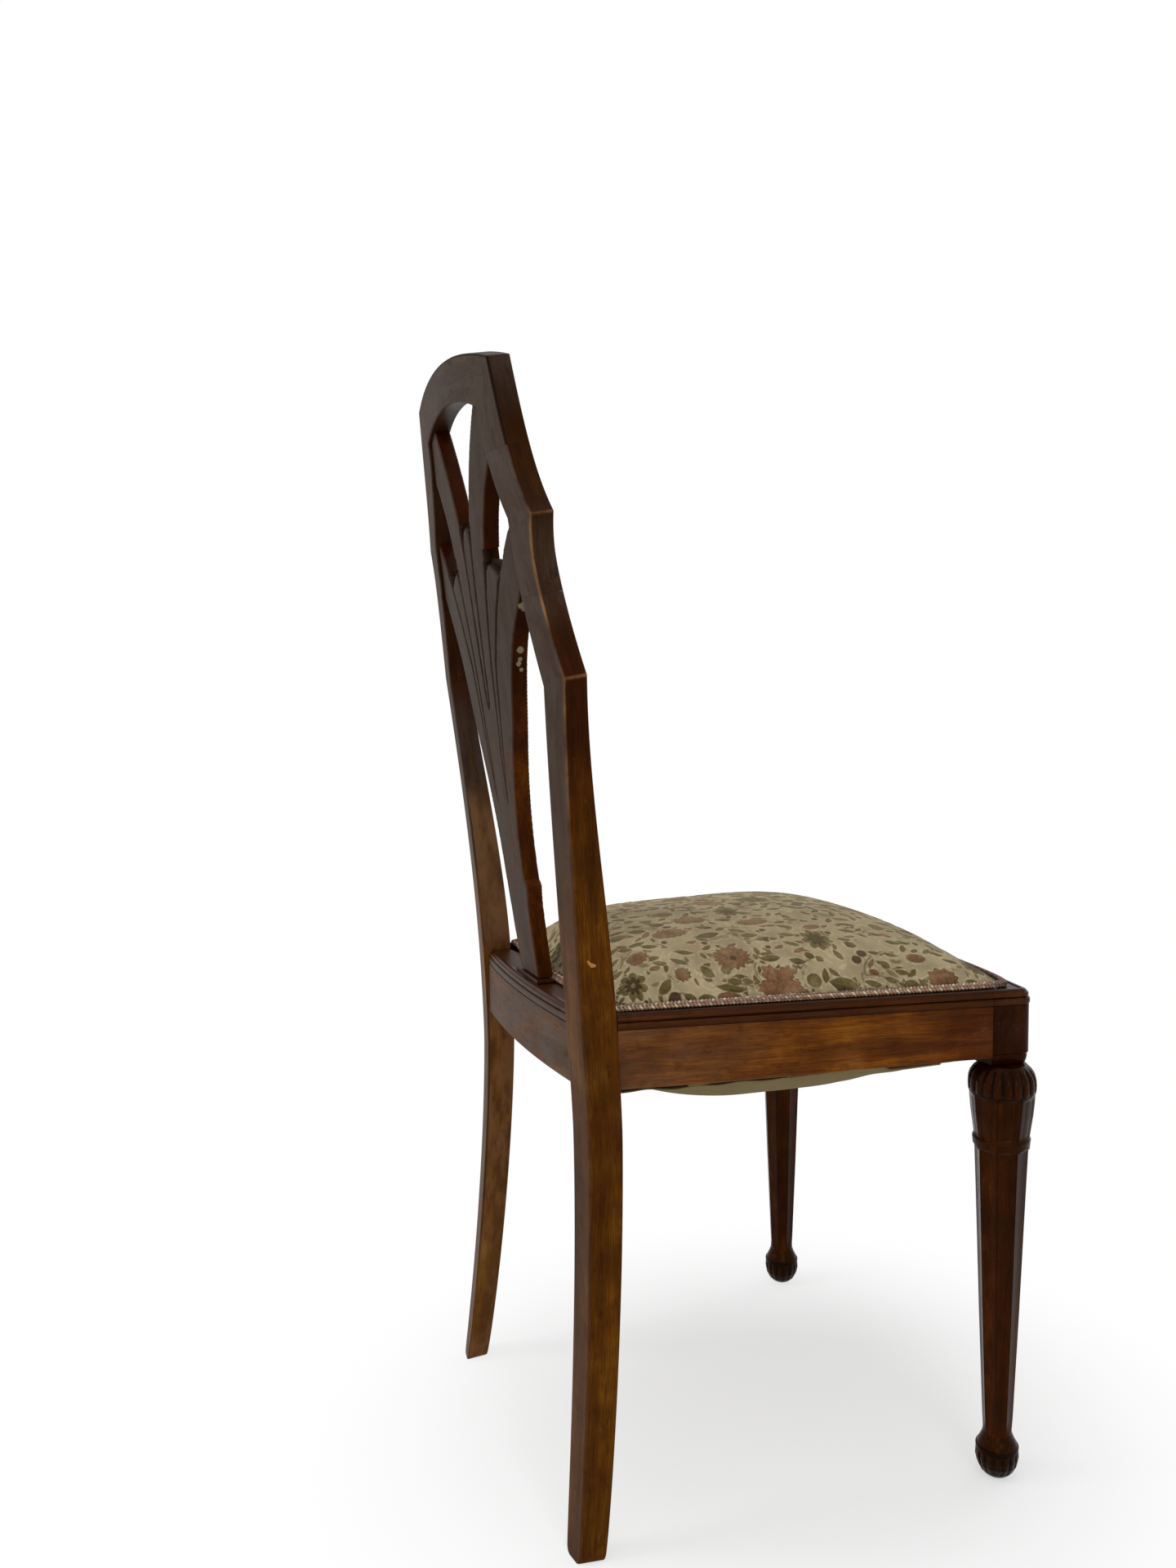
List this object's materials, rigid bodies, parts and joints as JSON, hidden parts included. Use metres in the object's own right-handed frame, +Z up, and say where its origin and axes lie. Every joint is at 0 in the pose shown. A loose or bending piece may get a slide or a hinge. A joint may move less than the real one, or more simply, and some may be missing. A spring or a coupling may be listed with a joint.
{
  "type": "shield back chair",
  "caption": "Wooden dining chair with a dished shield-shaped back, a pierced fan splat, swept rear legs, lobed and tapered front legs and a crowned seat in floral cut velvet",
  "frame": {"origin": "on the floor, at the bottom centre of the overall box", "axes": "+Z is up, the sitter faces -Y, and the chair's own left side is +X"},
  "size_m": [0.447, 0.462, 0.9629],
  "materials": {
    "post_wood": "worn satin varnish",
    "inner_wood": "bare",
    "splat_wood": "worn satin varnish",
    "rail_wood": "worn satin varnish",
    "leg_wood": "dark satin varnish",
    "steel": "plain",
    "jute": "coarse weave",
    "cream_cloth": "plain weave",
    "velvet": "cut velvet on a woven ground",
    "gimp": "twisted braid"
  },
  "bodies": {
    "root": {"back_post_left": "post_wood", "back_post_right": "post_wood", "shield_shoulder_left": "post_wood", "shield_shoulder_right": "post_wood", "crest_rail": "post_wood", "shoulder_dowel_left": "inner_wood", "shoulder_dowel_right": "inner_wood", "crest_dowel_left": "inner_wood", "crest_dowel_right": "inner_wood", "splat": "splat_wood", "splat_shoe": "rail_wood", "rear_seat_rail": "rail_wood", "side_seat_rail_left": "rail_wood", "side_seat_rail_right": "rail_wood", "front_seat_rail": "rail_wood", "front_leg_left": "leg_wood", "front_leg_right": "leg_wood", "rear_rail_moulding": "rail_wood", "side_rail_moulding_left": "rail_wood", "side_rail_moulding_right": "rail_wood", "front_rail_moulding": "rail_wood", "rear_corner_block_left": "inner_wood", "rear_corner_block_right": "inner_wood", "front_corner_block_left": "inner_wood", "front_corner_block_right": "inner_wood", "rear_block_side_screw_left": "steel", "rear_block_side_screw_right": "steel", "rear_block_rail_screw_left": "steel", "rear_block_rail_screw_right": "steel", "front_block_side_screw_left": "steel", "front_block_side_screw_right": "steel", "front_block_rail_screw_left": "steel", "front_block_rail_screw_right": "steel", "webbing_lengthwise_right": "jute", "webbing_lengthwise_middle": "jute", "webbing_lengthwise_left": "jute", "webbing_crosswise_front": "jute", "webbing_crosswise_middle": "jute", "webbing_crosswise_rear": "jute", "front_seat_spring_left": "steel", "front_seat_spring_right": "steel", "rear_seat_spring_left": "steel", "rear_seat_spring_right": "steel", "hessian": "jute", "seat_pad": "cream_cloth", "seat_cover": "velvet", "gimp_braid": "gimp", "bottom_cloth": "cream_cloth"}
  },
  "joints": []
}
